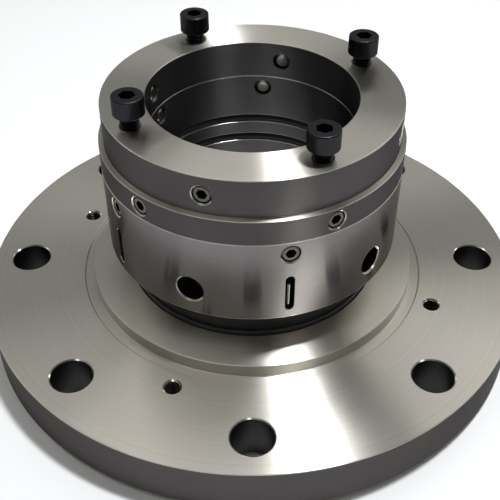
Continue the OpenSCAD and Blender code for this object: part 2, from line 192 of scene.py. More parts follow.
def turned(outline, soften, steps=TURN_STEPS):
    """Spins a closed outline of (radius, height) points about the shaft. Every corner is rounded
    by soften, or by a third number of its own."""
    form = bmesh.new()
    corners = [form.verts.new((r, 0, z)) for r, z, *_ in outline]
    sizes = [own[0] if own else soften for _, _, *own in outline]
    form.faces.new(corners)
    for size in sorted(set(sizes) - {0}):
        rims = [v for v, s in zip(corners, sizes) if s == size and v.co.x > 0]
        bmesh.ops.bevel(form, geom=rims, offset=size, segments=CORNER_STEPS, profile=0.5,
                        affect="VERTICES", material=-1)
    bmesh.ops.delete(form, geom=form.faces[:], context="FACES_ONLY")
    on_axis = [e for e in form.edges if max(v.co.x for v in e.verts) < ON_AXIS]
    bmesh.ops.delete(form, geom=on_axis, context="EDGES")
    bmesh.ops.spin(form, geom=form.verts[:] + form.edges[:], cent=(0, 0, 0), axis=(0, 0, 1),
                   dvec=(0, 0, 0), angle=2 * math.pi, steps=steps, use_merge=True)
    bmesh.ops.remove_doubles(form, verts=form.verts[:], dist=SAME_POINT)
    bmesh.ops.recalc_face_normals(form, faces=form.faces[:])
    return form


def placed(form, *moves):
    """Moves a form through matrices, one after another."""
    for move in moves:
        bmesh.ops.transform(form, matrix=move, verts=form.verts[:])
    return form


def shift(x, y, z):
    return Matrix.Translation((x, y, z))


def turn(degrees, axis="Z"):
    return Matrix.Rotation(math.radians(degrees), 4, axis)


def joined(forms):
    """Puts several forms into one, and frees them."""
    whole = bmesh.new()
    for form in forms:
        part = bpy.data.meshes.new("part")
        form.to_mesh(part)
        form.free()
        whole.from_mesh(part)
        bpy.data.meshes.remove(part)
    return whole


def piece(name, form, finishes):
    """Makes a piece of a form in millimetres, with its finishes in order."""
    mesh = bpy.data.meshes.new(name)
    bmesh.ops.scale(form, vec=(MM, MM, MM), verts=form.verts[:])
    form.to_mesh(mesh)
    form.free()
    for finish in finishes:
        mesh.materials.append(finish)
    made = bpy.data.objects.new(name, mesh)
    scene.collection.objects.link(made)
    return made


def cut(made, form, finish, operation="DIFFERENCE"):
    """Cuts a form out of a piece. The cut faces get a finish of their own."""
    tool = piece("tool", form, [finish])
    cutting = made.modifiers.new("cut", "BOOLEAN")
    cutting.operation = operation
    cutting.solver = "EXACT"
    cutting.material_mode = "TRANSFER"
    cutting.object = tool
    bpy.context.view_layer.update()
    result = bpy.data.meshes.new_from_object(
        made.evaluated_get(bpy.context.evaluated_depsgraph_get()))
    made.modifiers.remove(cutting)
    old = made.data
    made.data = result
    result.name = made.name
    bpy.data.meshes.remove(old)
    used = tool.data
    bpy.data.objects.remove(tool)
    bpy.data.meshes.remove(used)


# Edges from 40 degrees on are sharp. The lean and the size of a face tell walls from the chamfers
# of holes.
SHARP = math.radians(40)
UPRIGHT = 0.2
CHAMFER_LEAN = (0.6, 0.8)
CHAMFER_AREA = 1.5 * MM ** 2


def smoothed(made, outside_from=None):
    """Shades a piece smooth up to its sharp edges, with flat faces kept flat. On turned steel,
    upright walls get the second finish and those outside a radius the fourth, both darker copies of
    the steel in painted shade, and the chamfers of its holes get the first."""
    form = bmesh.new()
    form.from_mesh(made.data)
    for f in form.faces:
        f.smooth = True
        if not outside_from:
            continue
        middle = f.calc_center_median()
        middle.z = 0
        lean = max(abs(f.normal.z), abs(f.normal.dot(middle.normalized())))
        if f.material_index == 0 and abs(f.normal.z) < UPRIGHT:
            f.material_index = 3 if middle.length > outside_from * MM else 1
        elif (f.material_index == 2 and CHAMFER_LEAN[0] < lean < CHAMFER_LEAN[1]
              and f.calc_area() < CHAMFER_AREA):
            f.material_index = 0
    for e in form.edges:
        e.smooth = e.is_manifold and e.calc_face_angle(math.pi) < SHARP
    form.to_mesh(made.data)
    form.free()
    weights = made.modifiers.new("flat_faces", "WEIGHTED_NORMAL")
    weights.keep_sharp = True
    return made


# The lathe's tool leaves rings around the shaft, so light is smeared across them: radially on a
# face, upright on a wall. A real feed of 0.1 mm is too fine to show, so it is drawn at 1.6 mm.
# Handling leaves smudges of about 28 mm, where the gloss changes a little.
FEED = 1.6 * MM
FEED_TONE = 0.025
SMUDGE = 28 * MM
SMUDGE_GLOSS = (-0.02, 0.03)
NOISE_SPAN = {"From Min": 0.3, "From Max": 0.7}


def turned_steel(name, hex_code, roughness, edge_tint):
    """Stainless steel with lathe rings around the shaft. The edge tint is what it keeps of its
    shine at a glancing angle."""
    finish = bpy.data.materials.new(name)
    finish.use_nodes = True
    tree = finish.node_tree
    tree.nodes.clear()
    place = add_node(tree, "ShaderNodeTexCoord").outputs["Object"]
    flat = add_node(tree, "ShaderNodeVectorMath", {"operation": "MULTIPLY", 1: (1, 1, 0)},
                    {0: place})
    radius = add_node(tree, "ShaderNodeVectorMath", {"operation": "LENGTH"}, {0: flat.outputs[0]})
    height = add_node(tree, "ShaderNodeSeparateXYZ", links={0: place})
    across = add_node(tree, "ShaderNodeMath", {"operation": "ADD"},
                      {0: radius.outputs["Value"], 1: height.outputs["Z"]})
    rings = add_node(tree, "ShaderNodeTexNoise",
                     {"noise_dimensions": "1D", "Scale": 1 / FEED, "Detail": 2.0, "Roughness": 0.6},
                     {"W": across.outputs[0]})
    smudge = add_node(tree, "ShaderNodeTexNoise", {"Scale": 1 / SMUDGE, "Detail": 3.0}, {0: place})
    tone = add_node(tree, "ShaderNodeMapRange",
                    {**NOISE_SPAN, "To Min": 1 - FEED_TONE, "To Max": 1 + FEED_TONE},
                    {"Value": rings.outputs["Fac"]})
    shade = add_node(tree, "ShaderNodeVectorMath",
                     {"operation": "SCALE", 0: colour(hex_code)[:3]}, {"Scale": tone.outputs[0]})
    gloss = add_node(tree, "ShaderNodeMapRange",
                     {**NOISE_SPAN, "To Min": roughness + SMUDGE_GLOSS[0],
                      "To Max": roughness + SMUDGE_GLOSS[1]}, {"Value": smudge.outputs["Fac"]})
    around = add_node(tree, "ShaderNodeVectorMath", {"operation": "CROSS_PRODUCT", 0: (0, 0, 1)},
                      {1: place})
    rings_way = add_node(tree, "ShaderNodeVectorTransform",
                         {"vector_type": "VECTOR", "convert_from": "OBJECT", "convert_to": "WORLD"},
                         {0: around.outputs[0]})
    normal = add_node(tree, "ShaderNodeNewGeometry").outputs["Normal"]
    across_way = add_node(tree, "ShaderNodeVectorMath", {"operation": "CROSS_PRODUCT"},
                          {0: normal, 1: rings_way.outputs[0]})
    tangent = add_node(tree, "ShaderNodeVectorMath", {"operation": "NORMALIZE"},
                       {0: across_way.outputs[0]})
    steel = add_node(tree, "ShaderNodeBsdfPrincipled",
                     {"Metallic": 1.0, "Anisotropic": 1.0,
                      "Specular Tint": (edge_tint, edge_tint, edge_tint, 1)},
                     {"Base Color": shade.outputs[0], "Roughness": gloss.outputs[0],
                      "Tangent": tangent.outputs[0]})
    add_node(tree, "ShaderNodeOutputMaterial", links={"Surface": steel.outputs[0]})
    return finish


# Faces catch the lamp in a bright fan, and look pale satin elsewhere.
FACE_STEEL = turned_steel("faced_stainless_steel", "#dcd8ce", roughness=0.3, edge_tint=1.0)
# The low wall of the boss is rougher, so it takes its light from all over the room.
# Its colour is painted a little darker than the faces, as shade in the groove.
SATIN_WALL_PAINTED_SHADE = turned_steel("satin_wall_steel_painted_shade", "#c4c0b7", roughness=0.45,
                           edge_tint=1.0)
# The flange's edge is the same turned steel, painted almost charcoal as shade.
FLANGE_EDGE_PAINTED_SHADE = turned_steel("flange_edge_steel_painted_shade", "#605d5c", roughness=0.31,
                          edge_tint=0.4)


def plain_finish(name, hex_code, roughness, metallic, grain, change, bump=0.0):
    """An even finish with a grain in its colour, its gloss and its surface. The grain's width and
    its height, bump, are in millimetres. Real grain is about 0.1 mm, so it is drawn coarser."""
    finish = bpy.data.materials.new(name)
    finish.use_nodes = True
    tree = finish.node_tree
    tree.nodes.clear()
    place = add_node(tree, "ShaderNodeTexCoord").outputs["Object"]
    grains = add_node(tree, "ShaderNodeTexNoise", {"Scale": 1 / (grain * MM), "Detail": 4.0},
                      {0: place})
    tone = add_node(tree, "ShaderNodeMapRange",
                    {**NOISE_SPAN, "To Min": 1 - change, "To Max": 1 + change},
                    {"Value": grains.outputs["Fac"]})
    shade = add_node(tree, "ShaderNodeVectorMath",
                     {"operation": "SCALE", 0: colour(hex_code)[:3]}, {"Scale": tone.outputs[0]})
    gloss = add_node(tree, "ShaderNodeMath", {"operation": "MULTIPLY", 1: roughness},
                     {0: tone.outputs[0]})
    raised = add_node(tree, "ShaderNodeBump", {"Strength": 1.0, "Distance": bump * MM},
                      {"Height": grains.outputs["Fac"]})
    surface = add_node(tree, "ShaderNodeBsdfPrincipled", {"Metallic": metallic},
                       {"Base Color": shade.outputs[0], "Roughness": gloss.outputs[0],
                        "Normal": raised.outputs[0]})
    add_node(tree, "ShaderNodeOutputMaterial", links={"Surface": surface.outputs[0]})
    return finish


# Drilled holes are rough and see little light; their near-black colour is painted shade.
DRILLED_WALL_PAINTED_SHADE = plain_finish("drilled_wall_steel_painted_shade", "#3a3938", roughness=0.4, metallic=1.0, grain=0.8,
                             change=0.12, bump=0.02)

flange_r, _, boss_top = reach("mounting_flange")
seat_r, seat_floor, seat_face = reach("seat_ring")
boss_foot = FLANGE_TOP - BOSS_GROOVE_DEPTH

flange = piece("flange_plate", turned([
    (FLANGE_BORE_R, 0), (RAISED_R, 0), (RAISED_R, RAISED_H), (flange_r, RAISED_H),
    (flange_r, FLANGE_TOP), (BOSS_GROOVE_R, FLANGE_TOP), (BOSS_GROOVE_R, boss_foot),
    (BOSS_R, boss_foot), (BOSS_R, boss_top), (seat_r + SEAT_GAP, boss_top),
    (seat_r + SEAT_GAP, SEAT_STEP_Z), (SEAT_TAIL_ROOM_R, SEAT_STEP_Z),
    (SEAT_TAIL_ROOM_R, seat_floor), (FLANGE_BORE_R, seat_floor)], FLANGE_BREAK),
    [FACE_STEEL, SATIN_WALL_PAINTED_SHADE, DRILLED_WALL_PAINTED_SHADE, FLANGE_EDGE_PAINTED_SHADE])


def hole(radius, foot, head, mouth):
    """A round hole from foot to head, its upper mouth chamfered. Like all cuts it goes on over the
    surface that it opens."""
    return turned([(0, foot), (radius, foot), (radius, head - mouth),
                   (radius + mouth + OVER, head + OVER), (0, head + OVER)], 0, HOLE_STEPS)


# Depth and widths of a thread, as shares of its pitch.
THREAD_DEPTH = 0.61
ROOT_FLAT = 0.25
FLANK = 0.3125
CREST_FLAT = 0.125
THREAD_STEPS = 48


def thread(radius, pitch, foot, head):
    """A threaded rod from foot to head: flanks at 60 degrees, flat crests and wider flat roots."""
    root_r = radius - THREAD_DEPTH * pitch
    form = bmesh.new()
    turns = math.ceil((head - foot) / pitch) + 2
    outline = []
    for k in range(turns):
        z = foot + (k - 1) * pitch
        outline += [(root_r, z), (root_r, z + ROOT_FLAT * pitch),
                    (radius, z + (ROOT_FLAT + FLANK) * pitch),
                    (radius, z + (ROOT_FLAT + FLANK + CREST_FLAT) * pitch)]
    outline.append((root_r, foot + (turns - 1) * pitch))
    points = [form.verts.new((r, 0, z)) for r, z in outline]
    for a, b in zip(points, points[1:]):
        form.edges.new((a, b))
    bmesh.ops.spin(form, geom=form.verts[:] + form.edges[:], cent=(0, 0, 0), axis=(0, 0, 1),
                   dvec=(0, 0, pitch / THREAD_STEPS), angle=2 * math.pi, steps=THREAD_STEPS)
    bmesh.ops.remove_doubles(form, verts=form.verts[:], dist=SAME_POINT)
    for height, side in ((foot, -1), (head, 1)):
        bmesh.ops.bisect_plane(form, geom=form.verts[:] + form.edges[:] + form.faces[:],
                               plane_co=(0, 0, height), plane_no=(0, 0, side), clear_outer=True)
    open_rims = [e for e in form.edges if e.is_boundary]
    bmesh.ops.edgeloop_fill(form, edges=open_rims)
    bmesh.ops.recalc_face_normals(form, faces=form.faces[:])
    return form


bolt_holes = [
    placed(hole(BOLT_D / 2, -2 * OVER, FLANGE_TOP, BOLT_MOUTH), shift(BOLT_CIRCLE / 2, 0, 0),
           turn(k * 360 / BOLTS)) for k in range(BOLTS)]
cut(flange, joined(bolt_holes), DRILLED_WALL_PAINTED_SHADE)
tapped_places = [TAPPED_ANGLE + k * 360 / TAPPED_HOLES for k in range(TAPPED_HOLES)]
core_holes = [
    placed(hole(TAPPED_D / 2, FLANGE_TOP - TAPPED_DEPTH, FLANGE_TOP, TAPPED_MOUTH),
           shift(TAPPED_CIRCLE / 2, 0, 0), turn(angle)) for angle in tapped_places]
cut(flange, joined(core_holes), DRILLED_WALL_PAINTED_SHADE)
threads = [
    placed(thread(TAPPED_THREAD / 2, TAPPED_PITCH, FLANGE_TOP - TAPPED_DEPTH + THREAD_LIFT,
                  FLANGE_TOP - THREAD_SINK),
           shift(TAPPED_CIRCLE / 2, 0, 0), turn(angle)) for angle in tapped_places]
cut(flange, joined(threads), DRILLED_WALL_PAINTED_SHADE)
pin_holes = [placed(hole(PIN_HOLE_R, seat_floor - PIN_HOLE_DEPTH, seat_floor, 0),
                    shift(PIN_CIRCLE_R, 0, 0), turn(angle)) for angle in PIN_ANGLES]
cut(flange, joined(pin_holes), DRILLED_WALL_PAINTED_SHADE)
smoothed(flange, outside_from=RAISED_R + WALL_MARGIN)
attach(flange, "mounting")
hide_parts("mounting_flange")

# Seat
# Ring of lapped silicon carbide that stands a little out of the boss. Its tail has an O-ring
# around it, and two slots that two steel pins in the flange fit, so that it can't turn.
EDGE_BREAK = 0.4
SEAT_BORE_R = 48.5
SEAT_TAIL_R = 53.5
SEAT_TAIL_H = 7
PIN_R = 1.75
PIN_GAP = 0.3
PIN_SLOT_H = 3.8

# Lapped silicon carbide is dark grey with an even, cool gloss.
SILICON_CARBIDE = plain_finish("lapped_silicon_carbide", "#4b4c50", roughness=0.22, metallic=0.0,
                               grain=1.2, change=0.08)
# Moulded rubber is black and almost matt.
RUBBER = plain_finish("moulded_rubber", "#1a1a1c", roughness=0.55, metallic=0.0, grain=0.6,
                      change=0.1, bump=0.01)
# Screws and pins of bright stainless steel are smooth; their mid grey, darker than tapped holes, is
# painted shade.
PIN_AND_SCREW_PAINTED_SHADE = plain_finish("pin_and_screw_steel_painted_shade", "#605e5b", roughness=0.31, metallic=1.0,
                            grain=0.9, change=0.06, bump=0.004)

seat = piece("seat_face_ring", turned([
    (SEAT_BORE_R, seat_floor), (SEAT_TAIL_R, seat_floor), (SEAT_TAIL_R, seat_floor + SEAT_TAIL_H),
    (seat_r, seat_floor + SEAT_TAIL_H), (seat_r, seat_face), (SEAT_BORE_R, seat_face)], EDGE_BREAK),
    [SILICON_CARBIDE])


def block(low, high):
    """A plain block between two corners."""
    form = bmesh.new()
    bmesh.ops.create_cube(form, size=1)
    size = [b - a for a, b in zip(low, high)]
    middle = [(a + b) / 2 for a, b in zip(low, high)]
    bmesh.ops.scale(form, vec=size, verts=form.verts[:])
    bmesh.ops.translate(form, vec=middle, verts=form.verts[:])
    return form


half_slot = PIN_R + PIN_GAP
pin_slots = [placed(block((SEAT_BORE_R - OVER, -half_slot, seat_floor - OVER),
                          (SEAT_TAIL_R + OVER, half_slot, seat_floor + PIN_SLOT_H)), turn(angle))
             for angle in PIN_ANGLES]
cut(seat, joined(pin_slots), SILICON_CARBIDE)
smoothed(seat)
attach(seat, "mounting")
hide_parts("seat_ring")
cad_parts["seat_o_ring"].data.materials[0] = RUBBER
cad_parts["seat_pins"].data.materials[0] = PIN_AND_SCREW_PAINTED_SHADE

# Carbon ring
# Running face of resin-filled carbon graphite, turned and then lapped on its nose. The steel
# carrier is pressed over its back.
CARBON_BORE_R = 50.3
NOSE_RELIEF = 1.7
NOSE_H = 2

# Carbon graphite is charcoal black, with the low sheen of graphite.
CARBON = plain_finish("carbon_graphite", "#28282b", roughness=0.38, metallic=0.0, grain=0.5,
                      change=0.12, bump=0.006)

carbon_r, carbon_foot, carbon_top = reach("carbon_ring")
carbon = piece("carbon_face", turned([
    (CARBON_BORE_R + NOSE_RELIEF, carbon_foot), (carbon_r, carbon_foot), (carbon_r, carbon_top),
    (CARBON_BORE_R, carbon_top), (CARBON_BORE_R, carbon_foot + NOSE_H),
    (CARBON_BORE_R + NOSE_RELIEF, carbon_foot + NOSE_H)], EDGE_BREAK), [CARBON])
smoothed(carbon)
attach(carbon, "face_unit")
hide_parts("carbon_ring")

# Face carrier
# Steel ring pressed over the back of the carbon ring. It has a seat for each key and each spring,
# and holds the O-ring that slides on the sleeve.
SKIRT_H = 4
RING_GROOVE_H = 4.4
RING_GROOVE_R = 53.1
SEATS_FIT = 0.05
KEYS = 5
KEY_ANGLE = -76.8
KEY_W = 2.6
KEY_SEAT_DEPTH = 3
SPRINGS = 10
SPRING_CIRCLE_R = 54.43
SPRING_POCKET_R = 3.3
SPRING_SEAT_DEPTH = 1.2
SPRING_SEAT_MOUTH = 0.2
BAR_STEPS = 32

# Bores are honed, and bright at a glancing angle; their mid grey is painted shade.
HONED_WALL_PAINTED_SHADE = turned_steel("honed_wall_steel_painted_shade", "#737070", roughness=0.31, edge_tint=1.0)
# Walls of the housing are painted darker, as shade, with soft upright streaks of what lies around.
FINE_TURNED_PAINTED_SHADE = turned_steel("fine_turned_steel_painted_shade", "#7c7979", roughness=0.14,
                             edge_tint=0.35)

key_angles = [KEY_ANGLE + k * 360 / KEYS for k in range(KEYS)]
spring_angles = [KEY_ANGLE + (k + 0.5) * 360 / SPRINGS for k in range(SPRINGS)]


def upright_bar(from_r, to_r, foot, head, width, mouth=0.0):
    """A bar along +X with full round ends above and below, flared past its outer end for a cut."""
    form = bmesh.new()
    bmesh.ops.create_circle(form, cap_ends=True, segments=BAR_STEPS, radius=width / 2,
                            matrix=turn(90, "Y") @ turn(180 / BAR_STEPS))
    half = (head - foot) / 2
    for v in form.verts:
        v.co.z += math.copysign(half - width / 2, v.co.z)
    steps = [(to_r - mouth - from_r, 0.0)]
    if mouth:
        steps.append((mouth + OVER, mouth + OVER))
    end = form.faces[:]
    for k, (length, flare) in enumerate(steps):
        start = end
        end = bmesh.ops.extrude_face_region(form, geom=start)["geom"]
        if k:
            bmesh.ops.delete(form, geom=start, context="FACES_ONLY")
        rim = [v for v in end if isinstance(v, bmesh.types.BMVert)]
        end = [f for f in end if isinstance(f, bmesh.types.BMFace)]
        bmesh.ops.translate(form, vec=(length, 0, 0), verts=rim)
        bmesh.ops.scale(form, vec=(1, 1 + 2 * flare / width, 1 + flare / half), verts=rim)
    bmesh.ops.recalc_face_normals(form, faces=form.faces[:])
    return placed(form, shift(from_r, 0, (foot + head) / 2))


carrier_r, _, carrier_top = reach("face_carrier")
_, key_foot, key_head = reach("drive_keys")
carrier = piece("face_holder", turned([
    (carbon_r + SEATS_FIT, carbon_top - SKIRT_H), (carrier_r, carbon_top - SKIRT_H),
    (carrier_r, carrier_top), (CARBON_BORE_R, carrier_top),
    (CARBON_BORE_R, carbon_top + RING_GROOVE_H), (RING_GROOVE_R, carbon_top + RING_GROOVE_H),
    (RING_GROOVE_R, carbon_top), (carbon_r + SEATS_FIT, carbon_top)], EDGE_BREAK),
    [FACE_STEEL, HONED_WALL_PAINTED_SHADE, DRILLED_WALL_PAINTED_SHADE, FINE_TURNED_PAINTED_SHADE])
key_seats = [placed(upright_bar(carrier_r - KEY_SEAT_DEPTH, carrier_r + OVER, key_foot - SEATS_FIT,
                                key_head + SEATS_FIT, KEY_W + 2 * SEATS_FIT), turn(angle))
             for angle in key_angles]
cut(carrier, joined(key_seats), DRILLED_WALL_PAINTED_SHADE)
spring_seats = [placed(hole(SPRING_POCKET_R, carrier_top - SPRING_SEAT_DEPTH, carrier_top,
                            SPRING_SEAT_MOUTH), shift(SPRING_CIRCLE_R, 0, 0), turn(angle))
                for angle in spring_angles]
cut(carrier, joined(spring_seats), DRILLED_WALL_PAINTED_SHADE)
smoothed(carrier, outside_from=carrier_r - WALL_MARGIN)
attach(carrier, "face_unit")
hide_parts("face_carrier")
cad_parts["face_o_ring"].data.materials[0] = RUBBER

# Drive keys
# Five keys of ground steel with round ends, set into the carrier. They run in the slots of the
# housing and turn the face.
KEY_R = 64.5
KEY_NOSE = 1.2
NOSE_STEPS = 5
TOUCH = 0.01

# Ground steel is bright, and draws a sharp line of light in the dark slot.
KEY_STEEL = plain_finish("ground_key_steel", "#a3a19d", roughness=0.2, metallic=1.0, grain=0.6,
                         change=0.05)

key_forms = []
for angle in key_angles:
    key = upright_bar(carrier_r - KEY_SEAT_DEPTH, KEY_R, key_foot, key_head, KEY_W)
    nose = [e for e in key.edges if min(v.co.x for v in e.verts) > KEY_R - TOUCH]
    bmesh.ops.bevel(key, geom=nose, offset=KEY_NOSE, segments=NOSE_STEPS, profile=0.5,
                    affect="EDGES", material=-1, clamp_overlap=True)
    key_forms.append(placed(key, turn(angle)))
keys = piece("face_keys", joined(key_forms), [KEY_STEEL])
smoothed(keys)
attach(keys, "face_unit")
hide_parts("drive_keys")

# Springs
# Ten small helical springs of drawn wire, with closed ends, in pockets between the carrier and
# the housing. They shorten as the head comes down.
WIRE_R = 0.4
COIL_R = 2.6
COIL_STEPS = 20
WIRE_SIDES = 10
OPEN_TURNS = 5
CLOSED_RISE = 0.88
POCKET_END = 82.6

# Drawn wire is smooth and mid grey.
SPRING_WIRE = plain_finish("drawn_spring_wire", "#a5a39e", roughness=0.3, metallic=1.0, grain=0.4,
                           change=0.08)

spring_low, spring_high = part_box("spring_1")
spring_foot = spring_low.z / MM
spring_length = (spring_high.z - spring_low.z) / MM
open_rise = (spring_length - 2 * WIRE_R - 2 * CLOSED_RISE) / OPEN_TURNS
for k, angle in enumerate(spring_angles):
    coil = bmesh.new()
    bmesh.ops.create_circle(coil, cap_ends=False, segments=WIRE_SIDES, radius=WIRE_R,
                            matrix=shift(COIL_R, 0, WIRE_R) @ turn(90, "X"))
    ring = coil.edges[:] + coil.verts[:]
    for turns, rise in ((1, CLOSED_RISE), (OPEN_TURNS, open_rise), (1, CLOSED_RISE)):
        ring = bmesh.ops.spin(coil, geom=ring, cent=(0, 0, 0), axis=(0, 0, 1),
                              dvec=(0, 0, rise / COIL_STEPS), angle=turns * 2 * math.pi,
                              steps=turns * COIL_STEPS)["geom_last"]
    bmesh.ops.holes_fill(coil, edges=[e for e in coil.edges if e.is_boundary])
    bmesh.ops.recalc_face_normals(coil, faces=coil.faces[:])
    placed(coil, shift(SPRING_CIRCLE_R, 0, spring_foot), turn(angle))
    spring = piece(f"coil_spring_{k + 1}", coil, [SPRING_WIRE])
    spring.data.shade_smooth()
    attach(spring, "rotor")
    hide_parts(f"spring_{k + 1}")
    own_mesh(spring)

# Spring housing
# Bell turned from bar. Blind pockets in its deck take the springs, slots in its skirt take the
# keys, round holes show the face, and five screws clamp it to the sleeve.
HOUSING_BORE_R = 59
SPRING_DECK = 70.6
SLEEVE_R = 50
SLOT_W = 3.6
SLOT_LIFT = 4.1
SLOT_LENGTH = 18
SLOT_MOUTH = 0.25
SIDE_HOLE_R = 6
SIDE_HOLE_LIFT = 12.3
SIDE_HOLE_MOUTH = 0.7
SCREW_R = 4
SCREW_GAP = 0.05
SCREW_DROP = 5.9
SCREW_MOUTH = 0.55
HOUSING_BREAK = 0.35


def outwards(height, angle):
    """Turns a form's +Z outwards from the shaft, at a height and an angle."""
    return [turn(90, "Y"), shift(0, 0, height), turn(angle)]


housing_r, housing_rim, housing_top = reach("spring_housing")
housing = piece("spring_bell", turned([
    (HOUSING_BORE_R, housing_rim), (housing_r, housing_rim), (housing_r, housing_top),
    (SLEEVE_R + SEATS_FIT, housing_top), (SLEEVE_R + SEATS_FIT, SPRING_DECK),
    (HOUSING_BORE_R, SPRING_DECK)], HOUSING_BREAK),
    [FACE_STEEL, HONED_WALL_PAINTED_SHADE, DRILLED_WALL_PAINTED_SHADE, FINE_TURNED_PAINTED_SHADE])
pockets = [placed(hole(SPRING_POCKET_R, SPRING_DECK - 2 * OVER, POCKET_END, 0),
                  shift(SPRING_CIRCLE_R, 0, 0), turn(angle)) for angle in spring_angles]
cut(housing, joined(pockets), DRILLED_WALL_PAINTED_SHADE)
slot_foot = housing_rim + SLOT_LIFT
slots = [placed(upright_bar(HOUSING_BORE_R - OVER, housing_r, slot_foot, slot_foot + SLOT_LENGTH,
                            SLOT_W, SLOT_MOUTH), turn(angle)) for angle in key_angles]
cut(housing, joined(slots), DRILLED_WALL_PAINTED_SHADE)
side_holes = [placed(hole(SIDE_HOLE_R, HOUSING_BORE_R - OVER, housing_r, SIDE_HOLE_MOUTH),
                     *outwards(housing_rim + SIDE_HOLE_LIFT, angle + 180 / KEYS))
              for angle in key_angles]
cut(housing, joined(side_holes), DRILLED_WALL_PAINTED_SHADE)
housing_screw_z = housing_top - SCREW_DROP
clamp_holes = [placed(hole(SCREW_R + SCREW_GAP, SLEEVE_R - OVER, housing_r, SCREW_MOUTH),
                      *outwards(housing_screw_z, angle)) for angle in key_angles]
cut(housing, joined(clamp_holes), DRILLED_WALL_PAINTED_SHADE)
smoothed(housing, outside_from=housing_r - WALL_MARGIN)
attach(housing, "rotor")
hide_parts("spring_housing")

# Housing screws
# Five set screws of bright stainless steel with a hexagon socket and a cup point. They are screwed
# in through the housing and bite on the sleeve.
THREAD_PITCH = 1.25
THREAD_CHAMFER = 0.7
THREAD_SHAVE = 0.001
CUP_R = 2.4
CUP_LIP = 0.5
CUP_DEPTH = 0.8
DRILL_POINT = 0.3
DOWNWARD = -0.9
SOCKET_W = 4
SOCKET_DEPTH = 4.5
SET_SINK = 0.7

# The points are painted pale as a highlight, so they shine in the dark bore.
SCREW_POINT_PAINTED_HIGHLIGHT = plain_finish("screw_point_painted_highlight", "#d6d4cf", roughness=0.3, metallic=1.0,
                           grain=0.6, change=0.05)


def hexagon(across, foot, head):
    """The cut of a hexagon socket, with the point of the drill at its foot."""
    corner = across / math.sqrt(3)
    form = bmesh.new()
    bmesh.ops.create_cone(form, cap_ends=True, segments=6, radius1=corner, radius2=corner,
                          depth=head + OVER - foot)
    bmesh.ops.translate(form, vec=(0, 0, (head + OVER + foot) / 2), verts=form.verts[:])
    floor = [f for f in form.faces if f.normal.z < DOWNWARD]
    tip = bmesh.ops.poke(form, faces=floor)["verts"]
    bmesh.ops.translate(form, vec=(0, 0, -DRILL_POINT * across), verts=tip)
    return form


def set_screw(length):
    """A set screw along +Z, its cup point at the foot and its socket at the head. The thread is a
    hair slimmer than the rod that it is cut from, and the point gets the second finish, a painted
    highlight."""
    blank = piece("blank", turned([
        (0, CUP_DEPTH), (CUP_R - CUP_LIP, 0), (CUP_R, 0), (SCREW_R, SCREW_R - CUP_R),
        (SCREW_R, length - THREAD_CHAMFER), (SCREW_R - THREAD_CHAMFER, length), (0, length)],
        0, HOLE_STEPS), [PIN_AND_SCREW_PAINTED_SHADE])
    cut(blank, thread(SCREW_R - THREAD_SHAVE, THREAD_PITCH, -OVER, length + OVER), PIN_AND_SCREW_PAINTED_SHADE,
        "INTERSECT")
    cut(blank, hexagon(SOCKET_W, length - SOCKET_DEPTH, length), PIN_AND_SCREW_PAINTED_SHADE)
    form = bmesh.new()
    form.from_mesh(blank.data)
    bmesh.ops.scale(form, vec=(1 / MM, 1 / MM, 1 / MM), verts=form.verts[:])
    # Faces of the cup point get the painted highlight.
    for f in form.faces:
        if f.calc_center_median().z < SCREW_R - CUP_R:
            f.material_index = 1
    mesh = blank.data
    bpy.data.objects.remove(blank)
    bpy.data.meshes.remove(mesh)
    return form


def set_screws(name, tip_r, outer_r, height, angles):
    """Like set screws around a ring, each from its tip's radius to its head's."""
    model = set_screw(outer_r - tip_r)
    screws = [placed(model.copy(), shift(0, 0, tip_r), *outwards(height, angle))
              for angle in angles]
    model.free()
    return smoothed(piece(name, joined(screws), [PIN_AND_SCREW_PAINTED_SHADE, SCREW_POINT_PAINTED_HIGHLIGHT]))


clamp_screws = set_screws("housing_screws", SLEEVE_R, housing_r - SET_SINK, housing_screw_z,
                          key_angles)
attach(clamp_screws, "rotor")
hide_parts("housing_set_screws")

# Drive sleeve
# Sleeve on the shaft in one piece with the clamping head above the housing, turned from bar. Its
# bore holds two O-rings, and five set screws grip the shaft.
SHAFT_R = 45
GROOVE_DEPTH = 2.5
GROOVE_W = 4
SLEEVE_SCREWS = 5
SLEEVE_SCREW_ANGLE = 11.5
RIM_BREAK = 0.4
JOINT_BREAK = 0.25

# Walls of the head and the collar are painted darker than the housing's, as shade.
DARK_WALL_PAINTED_SHADE = turned_steel("dark_wall_steel_painted_shade", "#625f5f", roughness=0.34,
                          edge_tint=0.35)
# Tapped holes show a little of their wall around each screw, painted pale as a highlight.
TAPPED_WALL_PAINTED_HIGHLIGHT = plain_finish("tapped_wall_steel_painted_highlight", "#8a8782", roughness=0.35, metallic=1.0, grain=0.8,
                            change=0.08)

head_r, sleeve_end, drive_top = reach("drive_sleeve")
ring_boxes = [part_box("upper_shaft_o_ring"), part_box("lower_shaft_o_ring")]
ring_heights = [(low.z + high.z) / 2 / MM for low, high in ring_boxes]
bore = []
for z in ring_heights:
    bore += [(SHAFT_R, z + GROOVE_W / 2), (SHAFT_R + GROOVE_DEPTH, z + GROOVE_W / 2),
             (SHAFT_R + GROOVE_DEPTH, z - GROOVE_W / 2), (SHAFT_R, z - GROOVE_W / 2)]
sleeve = piece("shaft_sleeve", turned([
    (SHAFT_R, sleeve_end, RIM_BREAK), (SLEEVE_R, sleeve_end, RIM_BREAK), (SLEEVE_R, housing_top),
    (head_r, housing_top), (head_r, drive_top), (SHAFT_R, drive_top)] + bore, JOINT_BREAK),
    [FACE_STEEL, HONED_WALL_PAINTED_SHADE, TAPPED_WALL_PAINTED_HIGHLIGHT, DARK_WALL_PAINTED_SHADE])
sleeve_screw_z = (housing_top + drive_top) / 2
